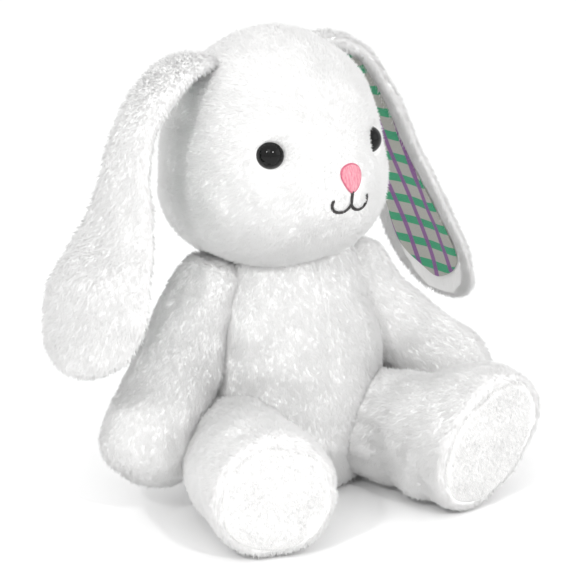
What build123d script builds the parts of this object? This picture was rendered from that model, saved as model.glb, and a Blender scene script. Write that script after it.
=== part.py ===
"""Seated stuffed rabbit, in millimetres.

The origin is on the ground under the middle of the seat. +Z is up, the rabbit faces -Y and its left is +X.
Each sewn shell is an outer shape less the same shape made one pile thickness smaller, cut at its seams.
"""
from build123d import *
from math import asin, cos, degrees, hypot, radians, sin, sqrt
import os

# Cloth and gaps
PLUSH = 2.2  # thickness of the plush with its pile pressed down
SATIN = 0.8  # height of embroidery above the plush
LINING = 1.4
JOINT_GAP = 0.6  # clearance round every soft joint

# Body
BODY_HEIGHT = 125.0
BODY_R = 50.0
BODY_WIDEST_Z = BODY_HEIGHT * 0.336
SEAT_R = 40.0  # of the flat patch that the rabbit sits on
COLLAR_R = 18.0
SIDE_SEAM_Y = 4.0

# Neck and head
NECK_BALL_R = 27.0
NECK_X = -7.0
NECK_Y = 4.0
NECK_Z = BODY_HEIGHT - 4.0
HEAD_R = 60.5
HEAD_HEIGHT = 124.0
HEAD_ABOVE_NECK = HEAD_HEIGHT / 2 + 2.0  # from the neck ball's middle to the head's
HEAD_BACK = 1.0  # the head's middle behind the neck's
CHEEK_DROP = 14.0  # how far below the head's middle it is widest
HEAD_TURN = 8.0  # degrees to its left at rest
EAR_SEAM_Y = 10.0  # the face panel ends this far behind the head's middle
MUZZLE_R = 32.0
MUZZLE_REACH = HEAD_R + 5.5
MUZZLE_DROP = 12.0

# Face
EYE_DIAMETER = 14.0
EYE_HEIGHT = 5.0
EYE_SPACING = 67.0
EYE_RISE = 6.0
EYE_SUNK = 6.5
EYE_DISH_R = 14.0
SHANK_DIAMETER = 4.0
SHANK_LENGTH = 13.0
SHANK_GAP = 0.1
WASHER_DIAMETER = 16.0
WASHER_THICKNESS = 1.6
WASHER_DEPTH = 3.4  # of its outer face behind the eye's base
NOSE_WIDTH = 12.5
NOSE_HEIGHT = 15.0
NOSE_DROP = 6.0
MOUTH_STROKE = 1.5
MOUTH_STEM = 6.5
MOUTH_ARC_R = 5.4

# Ears
EAR_ROOT_OUT = HEAD_R - 19.5  # from the head's middle plane
EAR_ROOT_BACK = 14.0
EAR_ROOT_RISE = HEAD_HEIGHT / 2 - 15.0
EAR_ROOT_R = 8.0
EAR_THICKNESS = 8.0
EAR_RUN = [(3, 3), (12, 7), (26, 1), (42, -22), (57, -56), (73, -91), (85, -119), (92, -146)]
EAR_NECK_W = 26.0
EAR_PADDLE_W = 70.0
EAR_PADDLE_Z = -111.0
EAR_NECK_Z = -4.0
EAR_TIP_Z = -146.0
EAR_YAW = {"right": 15.0, "left": 6.0}

# Arms
SHOULDER_X = BODY_R + 2.0
SHOULDER_Y = 2.0
SHOULDER_Z = BODY_HEIGHT - 19.0
SHOULDER_R = 13.0
ARM_LENGTH = 75.0  # from the shoulder's middle to the paw's
PAW_R = 25.0
ARM_SPLAY = {"right": 36.0, "left": 39.0}
ARM_FORWARD = 6.0

# Legs
HIP_X = BODY_R - 12.0
HIP_Y = 16.0 - BODY_R
HIP_Z = 30.0
HIP_R = 24.0
HIP_GAP = 3.2
LEG_R = 30.0
FOOT_R = 33.0
SOLE_AHEAD = 17.0  # from the foot's middle to the sole
TOE_REACH = {"right": 1.0, "left": 8.0}  # the foot's longer half-length over its half-width
LEG_LENGTH = {"right": 55.0, "left": 55.0}
LEG_SPLAY = {"right": 24.0, "left": 25.0}
FOOT_ROLL = {"right": 25.0, "left": 42.0}

# Seat weight and tail
PELLET_BAG_R = 18.0
PELLET_BAG_BACK = 18.0
PELLET_BAG_Z = 24.0
BAG_CLOTH = 0.8
TAIL_R = 15.0
TAIL_Z = 30.0
TAIL_OUT = 6.0

# Stitching and label
STITCH_WIDTH = 4.0
STITCH_THREAD = 1.0
STITCH_PITCH = 4.5
STITCH_COUNT = 7
STITCH_FROM_Z = 74.0
LABEL_SIZE = (0.8, 16.0, 13.0)
LABEL_Z = 56.0

SIDES = {"right": -1, "left": 1}
REACH = 400.0  # of the blocks that stand for half-spaces


def half(axis, side, at=0.0):
    """A block that fills the space on one side of a plane square to an axis."""
    middle = [0.0, 0.0, 0.0]
    middle["XYZ".index(axis)] = at + side * REACH / 2
    return Pos(*middle) * Box(REACH, REACH, REACH)


def turned(edges):
    """A round body about Z from edges in the XZ plane that run from the axis back to it."""
    start, end = edges[0] @ 0, edges[-1] @ 1
    return revolve(make_face([*edges, Line(end, start)]), Axis.Z)


def arc(middle, radius, start, end):
    """An arc in the XZ plane about a point, between two angles counted from +X towards +Z."""
    points = []
    for angle in (start, (start + end) / 2, end):
        points.append((middle[0] + radius * cos(radians(angle)), 0, middle[1] + radius * sin(radians(angle))))
    return ThreePointArc(*points)


def pill(top_r, low_r, length):
    """A round bar down -Z from one ball to another, with the cone that touches both."""
    lean = degrees(asin((low_r - top_r) / length))
    top = arc((0, 0), top_r, 90, lean)
    low = arc((0, -length), low_r, lean, -90)
    return turned([top, Line(top @ 1, low @ 0), low])


def write(name, shape):
    """Writes one sub-part where it stands in the rabbit."""
    export_step(shape, f"parts/{name}.step")


def neck_place():
    return Pos(NECK_X, NECK_Y, NECK_Z)


def head_place():
    """The head's own frame: its middle, turned as it sits."""
    return neck_place() * Rot(0, 0, HEAD_TURN) * Pos(0, HEAD_BACK, HEAD_ABOVE_NECK)


def shoulder_place(side):
    return Pos(SIDES[side] * SHOULDER_X, SHOULDER_Y, SHOULDER_Z)


def hip_place(side):
    return Pos(SIDES[side] * HIP_X, HIP_Y, HIP_Z)


def body_shape(shrink=0.0):
    """The body: flat under the seat, widest at the hips, narrowing to the neck, with a cup at each joint."""
    widest = (BODY_R - shrink, 0, BODY_WIDEST_Z)
    low = ThreePointArc((SEAT_R - shrink, 0, shrink), (BODY_R * 0.955 - shrink, 0, BODY_WIDEST_Z * 0.4), widest)
    collar = (COLLAR_R, 0, BODY_HEIGHT - shrink)
    high = ThreePointArc(widest, (BODY_R * 0.82 - shrink, 0, BODY_HEIGHT * 0.76), collar)
    shape = turned([Line((0, 0, shrink), (SEAT_R - shrink, 0, shrink)), low, high,
                    Line(collar, (0, 0, BODY_HEIGHT - shrink))])
    cup = JOINT_GAP + shrink
    shape -= neck_place() * Sphere(NECK_BALL_R + cup)
    for side in SIDES:
        shape -= shoulder_place(side) * Sphere(SHOULDER_R + cup)
        shape -= hip_place(side) * Sphere(HIP_R + HIP_GAP + shrink)
    return shape


def head_ball(shrink):
    """The head's round, widest at the cheeks."""
    top, low = HEAD_HEIGHT / 2 - shrink, -HEAD_HEIGHT / 2 + shrink
    wide = (HEAD_R - shrink, 0, -CHEEK_DROP)
    crown = ThreePointArc((0, 0, top), (wide[0] * 0.75, 0, -CHEEK_DROP + (top + CHEEK_DROP) * 0.69), wide)
    jaw = ThreePointArc(wide, (wide[0] * 0.76, 0, -CHEEK_DROP + (low + CHEEK_DROP) * 0.68), (0, 0, low))
    return turned([crown, jaw])


def muzzle(grow):
    return Pos(0, MUZZLE_R - MUZZLE_REACH, -MUZZLE_DROP) * Sphere(MUZZLE_R + grow)


def head_shape(shrink=0.0):
    """The head in its own frame, with its eye dishes and the cups of its neck and ears."""
    shape = head_ball(shrink) + muzzle(-shrink)
    for sign in SIDES.values():
        shape -= eye_place(sign) * Pos(0, 0, EYE_DISH_R) * Sphere(EYE_DISH_R + shrink)
    cup = JOINT_GAP + shrink
    shape -= Pos(0, -HEAD_BACK, -HEAD_ABOVE_NECK) * Sphere(NECK_BALL_R + cup)
    for side in SIDES:
        shape -= ear_place(side) * Sphere(EAR_ROOT_R + cup)
    return shape


def eye_place(sign):
    """An eye's frame: on the floor of its dish, with +Z straight out of the head."""
    out = HEAD_R - EYE_SUNK
    x = sign * EYE_SPACING / 2
    y = -sqrt(out**2 - x**2)
    return Location(Plane(origin=(x, y, EYE_RISE), x_dir=(0, 0, 1), z_dir=(x, y, 0)))


def eye(sign):
    """A domed safety eye on its shank."""
    radius = EYE_DIAMETER / 2
    ball_r = (radius**2 + EYE_HEIGHT**2) / (2 * EYE_HEIGHT)
    dome = (Pos(0, 0, EYE_HEIGHT - ball_r) * Sphere(ball_r)) & half("Z", 1)
    shank = Pos(0, 0, -SHANK_LENGTH / 2) * Cylinder(SHANK_DIAMETER / 2, SHANK_LENGTH)
    return eye_place(sign) * (dome + shank)


def eye_seat(sign):
    """The room that an eye's dome takes in the plush."""
    return eye_place(sign) * Pos(0, 0, EYE_HEIGHT / 2) * Cylinder(EYE_DIAMETER / 2, EYE_HEIGHT)


def eye_hole(sign, radius, low, high):
    """A round hole about an eye's shank, between two depths."""
    return eye_place(sign) * Pos(0, 0, (low + high) / 2) * Cylinder(radius, high - low)


def eye_washer(sign):
    """The lock washer that grips the shank behind the face panel."""
    low = -WASHER_DEPTH - WASHER_THICKNESS
    return eye_hole(sign, WASHER_DIAMETER / 2, low, -WASHER_DEPTH) - eye_hole(sign, SHANK_DIAMETER / 2, low, 0)


def nose_outline():
    """A rounded triangle that points down."""
    wide, tall = NOSE_WIDTH / 2, NOSE_HEIGHT / 2
    top = ThreePointArc((-wide, tall * 0.3), (0, tall), (wide, tall * 0.3))
    right = ThreePointArc((wide, tall * 0.3), (wide * 0.62, -tall * 0.5), (0, -tall))
    left = ThreePointArc((0, -tall), (-wide * 0.62, -tall * 0.5), (-wide, tall * 0.3))
    return make_face([top, right, left])


def mouth_outline():
    """A short stem under the nose that parts into two upturned arcs."""
    top = -NOSE_HEIGHT / 2
    foot = top - MOUTH_STEM
    stroke = Pos(0, (top + foot) / 2) * Rectangle(MOUTH_STROKE, top - foot)
    for sign in SIDES.values():
        ring = Circle(MOUTH_ARC_R + MOUTH_STROKE / 2) - Circle(MOUTH_ARC_R - MOUTH_STROKE / 2)
        ring &= Pos(0, -MOUTH_ARC_R) * Rectangle(4 * MOUTH_ARC_R, 2 * MOUTH_ARC_R)
        stroke += Pos(sign * MOUTH_ARC_R, foot) * ring
    return stroke


def on_muzzle(outline):
    """An outline sewn on the muzzle, which stands as high as satin stitch all over."""
    front = Plane(origin=(0, 0, -NOSE_DROP), x_dir=(1, 0, 0), z_dir=(0, -1, 0))
    prism = extrude(front * outline, amount=MUZZLE_REACH + REACH / 4)
    prism &= half("Y", -1, MUZZLE_R - MUZZLE_REACH)
    return (prism & muzzle(SATIN)) - muzzle(0)


def ear_place(side):
    """An ear's frame: at its root, with +X outward and +Z up."""
    sign = SIDES[side]
    turn = -sign * EAR_YAW[side] + (0 if sign > 0 else 180)
    return Pos(sign * EAR_ROOT_OUT, EAR_ROOT_BACK, EAR_ROOT_RISE) * Rot(0, 0, turn)


def ear_line(offset):
    """The ear's run seen from the front, moved square to itself: outward if the offset is positive."""
    points = []
    last = len(EAR_RUN) - 1
    for i, (out, up) in enumerate(EAR_RUN):
        before, after = EAR_RUN[max(i - 1, 0)], EAR_RUN[min(i + 1, last)]
        along = (after[0] - before[0], after[1] - before[1])
        size = hypot(*along)
        points.append((out - offset * along[1] / size, 0, up + offset * along[0] / size))
    return Spline(*points)


def ear_band(inner, outer):
    """A strip of even thickness along the ear's run, as wide as the ear could be."""
    low, high = ear_line(inner), ear_line(outer)
    face = make_face([low, Line(low @ 1, high @ 1), high, Line(high @ 0, low @ 0)])
    return extrude(face, amount=EAR_PADDLE_W, both=True)


def ear_outline():
    """The ear seen from the side: a narrow neck that widens to a rounded paddle."""
    neck, wide = EAR_NECK_W / 2, EAR_PADDLE_W / 2
    above = EAR_ROOT_R + EAR_THICKNESS + 10
    lines = [Line((-neck, EAR_NECK_Z), (-neck, above)), Line((-neck, above), (neck, above)),
             Line((neck, above), (neck, EAR_NECK_Z)), Line((neck, EAR_NECK_Z), (wide, EAR_PADDLE_Z)),
             ThreePointArc((wide, EAR_PADDLE_Z), (0, EAR_TIP_Z), (-wide, EAR_PADDLE_Z)),
             Line((-wide, EAR_PADDLE_Z), (-neck, EAR_NECK_Z))]
    side_on = Plane(origin=(0, 0, 0), x_dir=(0, 1, 0), z_dir=(1, 0, 0))
    return extrude(side_on * make_face(lines), amount=REACH / 2, both=True)


def ear(side):
    """One ear: the plush back with its gathered root, and the cotton lining on its inner face."""
    middle = EAR_THICKNESS / 2
    outline = ear_outline() - ear_place(side).inverse() * head_ball(-JOINT_GAP)
    root = Sphere(EAR_ROOT_R)
    back = (ear_band(LINING - middle, middle) & outline) + root
    lining = (ear_band(-middle, LINING - middle) & outline) - root
    return {"back_panel": back, "lining": max(lining.solids(), key=lambda piece: piece.volume)}


def arm_place(side):
    """The arm's frame: at the shoulder, with -Z down the arm and +X outward."""
    sign = SIDES[side]
    place = shoulder_place(side) * Rot(0, -sign * ARM_SPLAY[side], 0) * Rot(-ARM_FORWARD, 0, 0)
    return place * Rot(0, 0, 0 if sign > 0 else 180)


def arm():
    """One arm: two panels and the stuffing in them."""
    stuffing = pill(SHOULDER_R - PLUSH, PAW_R - PLUSH, ARM_LENGTH)
    shell = pill(SHOULDER_R, PAW_R, ARM_LENGTH) - stuffing
    return {"outer_panel": shell & half("X", 1), "inner_panel": shell & half("X", -1), "stuffing": stuffing}


def foot_height(side):
    """The foot's middle above the ground, from its own size and roll."""
    return FOOT_R + TOE_REACH[side] * cos(radians(FOOT_ROLL[side]))


def leg_place(side):
    """The leg's frame: at the hip, with +Z along the leg to the sole and +Y up."""
    sign = SIDES[side]
    splay = radians(LEG_SPLAY[side])
    rise = asin((foot_height(side) - HIP_Z) / LEG_LENGTH[side])
    way = (sign * sin(splay) * cos(rise), -cos(splay) * cos(rise), sin(rise))
    right = (cos(splay), sign * sin(splay), 0)
    return Location(Plane(origin=(sign * HIP_X, HIP_Y, HIP_Z), x_dir=right, z_dir=way))


def leg_shape(side, shrink):
    """The thigh and the foot, which is longer towards its toe and cut flat where the sole is sewn on."""
    length, toe = LEG_LENGTH[side], TOE_REACH[side]
    thigh = Rot(180, 0, 0) * pill(HIP_R - shrink, LEG_R - shrink, length * 0.8)
    foot_r = FOOT_R - shrink
    foot = turned([arc((0, toe), foot_r, 90, 0), Line((foot_r, 0, toe), (foot_r, 0, -toe)),
                   arc((0, -toe), foot_r, 0, -90)])
    roll = -SIDES[side] * FOOT_ROLL[side]
    foot = Pos(0, 0, length) * Rot(0, 0, roll) * Rot(-90, 0, 0) * foot
    return (thigh + foot) & half("Z", -1, length + SOLE_AHEAD - shrink)


def leg(side):
    """One leg: two side panels, the sole and the stuffing."""
    outer, stuffing = leg_shape(side, 0), leg_shape(side, PLUSH)
    front = half("Z", 1, LEG_LENGTH[side] + SOLE_AHEAD - PLUSH)
    shell = (outer - stuffing) - front
    away = SIDES[side]
    return {"sole": outer & front, "outer_panel": shell & half("X", away),
            "inner_panel": shell & half("X", -away), "stuffing": stuffing}


def stitches(body):
    """The ladder stitches that close the back, each lying on the plush."""
    bars = []
    for i in range(STITCH_COUNT):
        height = STITCH_FROM_Z + i * STITCH_PITCH
        bar = Pos(0, BODY_R, height) * Box(STITCH_WIDTH, BODY_R, STITCH_THREAD)
        bars.append((bar & body_shape(-SATIN)) - body)
    return Compound(bars)


def torso():
    """The body shell, what fills it, the tail and the trim."""
    body, filling = body_shape(), body_shape(PLUSH)
    shell = body - filling
    for name, sign in SIDES.items():
        for where, way in (("front", -1), ("back", 1)):
            write(f"torso_{where}_{name}_panel", shell & half("X", sign) & half("Y", way, SIDE_SEAM_Y))
    bag_at = Pos(0, PELLET_BAG_BACK, PELLET_BAG_Z)
    bag = bag_at * Sphere(PELLET_BAG_R)
    pellets = bag_at * Sphere(PELLET_BAG_R - BAG_CLOTH)
    write("torso_stuffing", filling - bag)
    write("seat_pellet_bag", bag - pellets)
    write("seat_pellets", pellets)
    tail_at = Pos(0, BODY_R + TAIL_OUT, TAIL_Z)
    tail_filling = (tail_at * Sphere(TAIL_R - PLUSH)) - body
    write("tail_cover", (tail_at * Sphere(TAIL_R) - body) - tail_filling)
    write("tail_stuffing", tail_filling)
    write("closing_seam_thread", stitches(body))
    label_middle = Pos(0, BODY_R + LABEL_SIZE[1] / 4, LABEL_Z + LABEL_SIZE[2] / 2)
    write("care_label", label_middle * Box(*LABEL_SIZE) - body)


def head():
    """The head shell, its stuffing, the eyes with their washers, and the embroidery."""
    outer, filling = head_shape(), head_shape(PLUSH)
    shell = outer - filling
    place = head_place()
    bore = SHANK_DIAMETER / 2 + SHANK_GAP
    low = -WASHER_DEPTH - WASHER_THICKNESS
    for sign in SIDES.values():
        shell -= eye_hole(sign, bore, -SHANK_LENGTH, 1) + eye_seat(sign)
        filling -= eye_hole(sign, bore, -SHANK_LENGTH - SHANK_GAP, 1)
        filling -= eye_hole(sign, WASHER_DIAMETER / 2, low, -WASHER_DEPTH)
    write("head_face_panel", place * (shell & half("Y", -1, EAR_SEAM_Y)))
    for name, sign in SIDES.items():
        write(f"head_back_{name}_panel", place * (shell & half("Y", 1, EAR_SEAM_Y) & half("X", sign)))
        write(f"{name}_eye", place * eye(sign))
        write(f"{name}_eye_washer", place * eye_washer(sign))
    write("head_stuffing", place * filling)
    nose = on_muzzle(nose_outline())
    write("nose_embroidery", place * nose)
    write("mouth_embroidery", place * (on_muzzle(mouth_outline()) - nose))


def limbs():
    """The ears, arms and legs of both sides."""
    for side in SIDES:
        for name, shape in ear(side).items():
            write(f"{side}_ear_{name}", head_place() * ear_place(side) * shape)
        for name, shape in arm().items():
            write(f"{side}_arm_{name}", arm_place(side) * shape)
        for name, shape in leg(side).items():
            write(f"{side}_leg_{name}", leg_place(side) * shape)


os.makedirs("parts", exist_ok=True)
torso()
write("neck_stuffing", neck_place() * Sphere(NECK_BALL_R))
head()
limbs()
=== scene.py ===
# %% [markdown]
# # A seated rabbit in white plush
# The toy is sewn from white plush, stuffed, and sat on its seat with its legs out in front.
# Every piece here is a surface worked out with numpy: a grid of points from a formula, put into a mesh.
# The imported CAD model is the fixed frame, so each piece goes where the CAD body is and rides on it.

import bpy
import numpy as np
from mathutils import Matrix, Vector


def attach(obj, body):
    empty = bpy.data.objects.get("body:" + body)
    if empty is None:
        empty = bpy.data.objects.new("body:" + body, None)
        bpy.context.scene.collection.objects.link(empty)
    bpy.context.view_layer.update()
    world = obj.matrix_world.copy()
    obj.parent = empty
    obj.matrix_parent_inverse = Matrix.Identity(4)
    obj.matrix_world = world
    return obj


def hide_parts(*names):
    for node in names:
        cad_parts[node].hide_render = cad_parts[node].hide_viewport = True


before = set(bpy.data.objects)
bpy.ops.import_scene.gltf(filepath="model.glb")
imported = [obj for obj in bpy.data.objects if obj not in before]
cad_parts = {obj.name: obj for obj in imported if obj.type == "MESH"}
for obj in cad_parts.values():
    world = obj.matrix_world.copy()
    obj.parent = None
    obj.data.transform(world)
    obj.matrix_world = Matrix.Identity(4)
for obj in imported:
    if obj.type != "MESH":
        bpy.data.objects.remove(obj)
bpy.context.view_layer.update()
MM = 0.001
SIDES = {"right": -1, "left": 1}

# %% [markdown]
# ## Grids of points
# Most pieces are rings of points stacked along a line, which is a grid of rows by columns. The rows run
# along the piece and the columns run round it. One helper turns any such grid into a mesh and closes both
# ends with a fan.

# %% Mesh helpers


def unit(v):
    """Each vector divided by its length."""
    return v / np.maximum(np.linalg.norm(v, axis=-1, keepdims=True), 1e-12)


def quads(rows, cols, wrap=True):
    """The four corners of every cell of a grid: a point, the next in its row, and the same two one row on."""
    span = cols if wrap else cols - 1
    r, c = np.meshgrid(np.arange(rows - 1), np.arange(span), indexing="ij")
    a, b = r * cols + c, r * cols + (c + 1) % cols
    return np.stack([a, b, b + cols, a + cols], -1).reshape(-1, 4)


def new_object(name, points, faces, material, smooth=True):
    """A mesh from points in millimetres and a list of faces."""
    mesh = bpy.data.meshes.new(name)
    mesh.from_pydata((np.asarray(points) * MM).tolist(), [], [list(f) for f in faces])
    mesh.polygons.foreach_set("use_smooth", np.full(len(mesh.polygons), smooth))
    mesh.materials.append(material)
    mesh.update()
    piece = bpy.data.objects.new(name, mesh)
    bpy.context.scene.collection.objects.link(piece)
    return piece


def closed_skin(name, rings, material):
    """Rings joined by quads, with a fan from the middle of the first ring and of the last."""
    rows, cols = rings.shape[:2]
    points = np.vstack([rings.reshape(-1, 3), rings[0].mean(0), rings[-1].mean(0)])
    c = np.arange(cols)
    low = np.stack([np.full(cols, rows * cols), (c + 1) % cols, c], -1)
    top = (rows - 1) * cols
    high = np.stack([np.full(cols, rows * cols + 1), top + c, top + (c + 1) % cols], -1)
    return new_object(name, points, quads(rows, cols).tolist() + low.tolist() + high.tolist(), material)


def places(piece):
    """The piece's points and their normals as arrays, the points in millimetres."""
    count = len(piece.data.vertices)
    co, no = np.empty(count * 3), np.empty(count * 3)
    piece.data.vertices.foreach_get("co", co)
    piece.data.vertex_normals.foreach_get("vector", no)
    return co.reshape(-1, 3) / MM, no.reshape(-1, 3)


def set_places(piece, points):
    """Puts points in millimetres back into the mesh."""
    piece.data.vertices.foreach_set("co", (points * MM).ravel())
    piece.data.update()


def push(piece, amount):
    """Moves every point along its normal by amount(points), in millimetres."""
    co, no = places(piece)
    set_places(piece, co + no * amount(co)[:, None])


def waves(points, size, seed, count=16):
    """A smooth unevenness near -1 to 1: plane sine waves of about one size, each its own way, added up."""
    rng = np.random.default_rng(seed)
    way = unit(rng.normal(size=(count, 3))) * 2 * np.pi / (size * rng.uniform(0.7, 1.5, (count, 1)))
    return np.sin(points @ way.T + rng.uniform(0, 2 * np.pi, count)).sum(1) / np.sqrt(count)


def eased(share):
    """3 times the square less 2 times the cube: from 0 to 1, level at both ends."""
    return share * share * (3 - 2 * share)


def bell(distance, width):
    """exp(-(distance / width) squared): 1 in the middle, nearly 0 two widths away."""
    return np.exp(-(distance / width) ** 2)


def smooth_line(knots, samples):
    """A Catmull-Rom curve: each stretch is a cubic, and its slope at a knot follows the knot's neighbours."""
    k = np.asarray(knots, float)
    k = np.vstack([2 * k[0] - k[1], k, 2 * k[-1] - k[-2]])
    t = np.linspace(0, len(k) - 3 - 1e-9, samples)
    i = t.astype(int)
    f = (t - i)[:, None]
    a, b, c, d = k[i], k[i + 1], k[i + 2], k[i + 3]
    return 0.5 * (2 * b + (c - a) * f + (2 * a - 5 * b + 4 * c - d) * f**2 + (3 * b - a - 3 * c + d) * f**3)


def size_of(piece):
    """Prints how many faces a piece has and its width, depth and height in millimetres."""
    co, _ = places(piece)
    wide, deep, tall = np.ptp(co, axis=0)
    print(f"{piece.name}: {len(piece.data.polygons)} faces, {wide:.0f} x {deep:.0f} x {tall:.0f} mm")


# %% [markdown]
# ## Finishes
# The plush is a knitted backing with a short soft pile. The backing gets a coat shader with fine streaks and
# a bump. The pile itself is real geometry, thousands of small three-sided spikes, so its shader is one plain
# soft white.

# %% Shader helpers


def finish(name, color, roughness, **sockets):
    """A material whose even values sit on the Principled shader's own sockets."""
    material = bpy.data.materials.new(name)
    material.use_nodes = True
    shader = material.node_tree.nodes["Principled BSDF"]
    shader.inputs["Base Color"].default_value = (*color, 1)
    shader.inputs["Roughness"].default_value = roughness
    for socket, value in sockets.items():
        shader.inputs[socket.replace("_", " ")].default_value = value
    return material


def node(material, kind, inputs=(), **settings):
    """A shader node with its settings, and each input as a value or as another node's output."""
    made = material.node_tree.nodes.new("ShaderNode" + kind)
    for key, value in settings.items():
        setattr(made, key, value)
    for key, value in dict(inputs).items():
        if isinstance(value, bpy.types.NodeSocket):
            material.node_tree.links.new(value, made.inputs[key])
        else:
            made.inputs[key].default_value = value
    return made


def shader_of(material):
    """The material's Principled shader."""
    return material.node_tree.nodes["Principled BSDF"]


def bump(material, height, distance):
    """Feeds a height into the shader's normal."""
    made = node(material, "Bump", {"Height": height, "Distance": distance, "Strength": 1.0})
    material.node_tree.links.new(made.outputs["Normal"], shader_of(material).inputs["Normal"])


def mottled(material, low, high, scale, stretch=(1, 1, 1), distance=0.0006, detail=6.0):
    """A noise on Object coordinates, stretched along the lie of the pile, drives both colour and bump."""
    where = node(material, "TexCoord").outputs["Object"]
    turned = node(material, "Mapping", {"Vector": where, "Scale": stretch}).outputs["Vector"]
    noise = node(material, "TexNoise",
                 {"Vector": turned, "Scale": scale, "Detail": detail, "Roughness": 0.65})
    ramp = node(material, "ValToRGB", {"Fac": noise.outputs["Fac"]})
    ramp.color_ramp.elements[0].position, ramp.color_ramp.elements[1].position = 0.3, 0.7
    ramp.color_ramp.elements[0].color, ramp.color_ramp.elements[1].color = (*low, 1), (*high, 1)
    material.node_tree.links.new(ramp.outputs["Color"], shader_of(material).inputs["Base Color"])
    bump(material, noise.outputs["Fac"], distance)
    return material


# %% Plush, nap and pile
WHITE = (0.93, 0.925, 0.915)
coat_cloth = mottled(finish("plush_backing", WHITE, 0.95, Sheen_Weight=0.3),
                     (0.85, 0.847, 0.84), (0.91, 0.907, 0.90), 420.0, (1, 1, 0.35))
nap_cloth = mottled(finish("short_nap", WHITE, 0.9, Sheen_Weight=0.35),
                    (0.70, 0.697, 0.69), (0.78, 0.777, 0.77), 700.0, (1, 1, 0.6), 0.0003)
pile_white = finish("pile_white", (0.945, 0.943, 0.937), 0.9, Sheen_Weight=0.2)
print("finishes:", coat_cloth.name, nap_cloth.name, pile_white.name)

# %% [markdown]
# ## Pile
# Each tuft is a thin spike with three sides, from three points at its root to one tip. Roots are spread over
# the coat by area, and each spike leans the way the plush was brushed. A spike takes the normal of the coat
# under it, so thousands of them are lit as one soft surface. It has no base: its root is buried in the coat,
# so its inside is never seen, while a flat blade would show a dark back. Hair curves would need strands that
# most programs can't read back, and a bump alone leaves the outline as smooth as plastic.

# %% Grow pile on a coat
PILE_DENSITY = 3.0  # spikes to a square millimetre
PILE_LENGTH = 3.4
ROOT_SINK = 0.5  # of a spike's root under the coat
TRIANGLE_LIMIT = 190000  # of one piece of pile, past which it is split


def scatter(coat, density, rng):
    """Roots and their normals: random points in the coat's triangles, each triangle picked by its area."""
    co, no = places(coat)
    coat.data.calc_loop_triangles()
    tri = np.empty(len(coat.data.loop_triangles) * 3, np.int32)
    coat.data.loop_triangles.foreach_get("vertices", tri)
    tri = tri.reshape(-1, 3)
    a, b, c = co[tri[:, 0]], co[tri[:, 1]], co[tri[:, 2]]
    area = np.linalg.norm(np.cross(b - a, c - a), axis=1) / 2
    count = int(area.sum() * density)
    pick = np.searchsorted(np.cumsum(area) / area.sum(), rng.uniform(0, 1, count)).clip(0, len(tri) - 1)
    u, v = rng.uniform(0, 1, (2, count, 1))
    flip = u + v > 1
    u, v = np.where(flip, 1 - u, u), np.where(flip, 1 - v, v)
    root = a[pick] * (1 - u - v) + b[pick] * u + c[pick] * v
    normal = unit(no[tri[pick, 0]] * (1 - u - v) + no[tri[pick, 1]] * u + no[tri[pick, 2]] * v)
    return root, normal, area.sum()


def pile(name, coat, body, density, length, comb, seed, lean=0.64, width=0.7, keep=None, ruffle=0.25):
    """Spikes on a coat, each along its normal and the comb's direction mixed by lean, then ruffled."""
    rng = np.random.default_rng(seed)
    root, normal, area = scatter(coat, density, rng)
    if keep is not None:
        kept = keep(root, normal)
        root, normal = root[kept], normal[kept]
    way = comb(root)
    way = unit(way - normal * (way * normal).sum(1, keepdims=True) + rng.normal(0, ruffle, root.shape))
    swirl = np.stack([waves(root, 22, seed + k) for k in (1, 2, 3)], -1)
    grow = unit(normal * (1 - lean) + way * lean + 0.06 * swirl + rng.normal(0, ruffle * 0.5, root.shape))
    size = (length(root) if callable(length) else length) * rng.uniform(0.6, 1.2, len(root))
    side = unit(np.cross(normal, grow) + rng.normal(0, 0.3, root.shape))
    side = unit(side - grow * (side * grow).sum(1, keepdims=True)) * width / 2
    thick = np.cross(grow, side)
    root = root - normal * ROOT_SINK
    tip = root + grow * size[:, None]
    points = np.stack([root - side - thick * 0.3, root + side - thick * 0.3, root + thick * 0.6, tip], 1)
    points[..., 2] = np.maximum(points[..., 2], 0.3)
    soft = np.repeat(unit(normal + grow * 0.35), 4, 0).reshape(-1, 4, 3)
    shares = np.array_split(np.argsort(root[:, 1]), int(np.ceil(len(root) * 3 / TRIANGLE_LIMIT)))
    for number, share in enumerate(shares):
        spikes(f"{name}_{number + 1}" if len(shares) > 1 else name, points[share], soft[share], body)
    print(f"{name}: {len(root)} spikes in {len(shares)} pieces, on {area / 100:.0f} cm2")


def spikes(name, points, soft, body):
    """A mesh of three-sided spikes, four points each, with the given normals."""
    count = len(points)
    corners = (np.arange(count)[:, None] * 4 + [0, 1, 3, 1, 2, 3, 2, 0, 3]).ravel()
    mesh = bpy.data.meshes.new(name)
    mesh.vertices.add(count * 4)
    mesh.vertices.foreach_set("co", (points * MM).ravel().astype(np.float32))
    mesh.loops.add(count * 9)
    mesh.loops.foreach_set("vertex_index", corners.astype(np.int32))
    mesh.polygons.add(count * 3)
    mesh.polygons.foreach_set("loop_start", np.arange(0, count * 9, 3, dtype=np.int32))
    mesh.materials.append(pile_white)
    mesh.update(calc_edges=True)
    mesh.polygons.foreach_set("use_smooth", np.ones(count * 3, bool))
    mesh.normals_split_custom_set_from_vertices(soft.reshape(-1, 3).astype(np.float32))
    piece = bpy.data.objects.new(name, mesh)
    bpy.context.scene.collection.objects.link(piece)
    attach(piece, body)


# %% [markdown]
# ## Body
# The body is a pear: flat where it sits, fullest low down, narrowing to the neck. It is a stack of flattened
# rings whose radius follows a smooth curve through a few heights. The joining seams and the lumps of stuffing
# are pushed in and out afterwards, along the normals.

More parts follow.
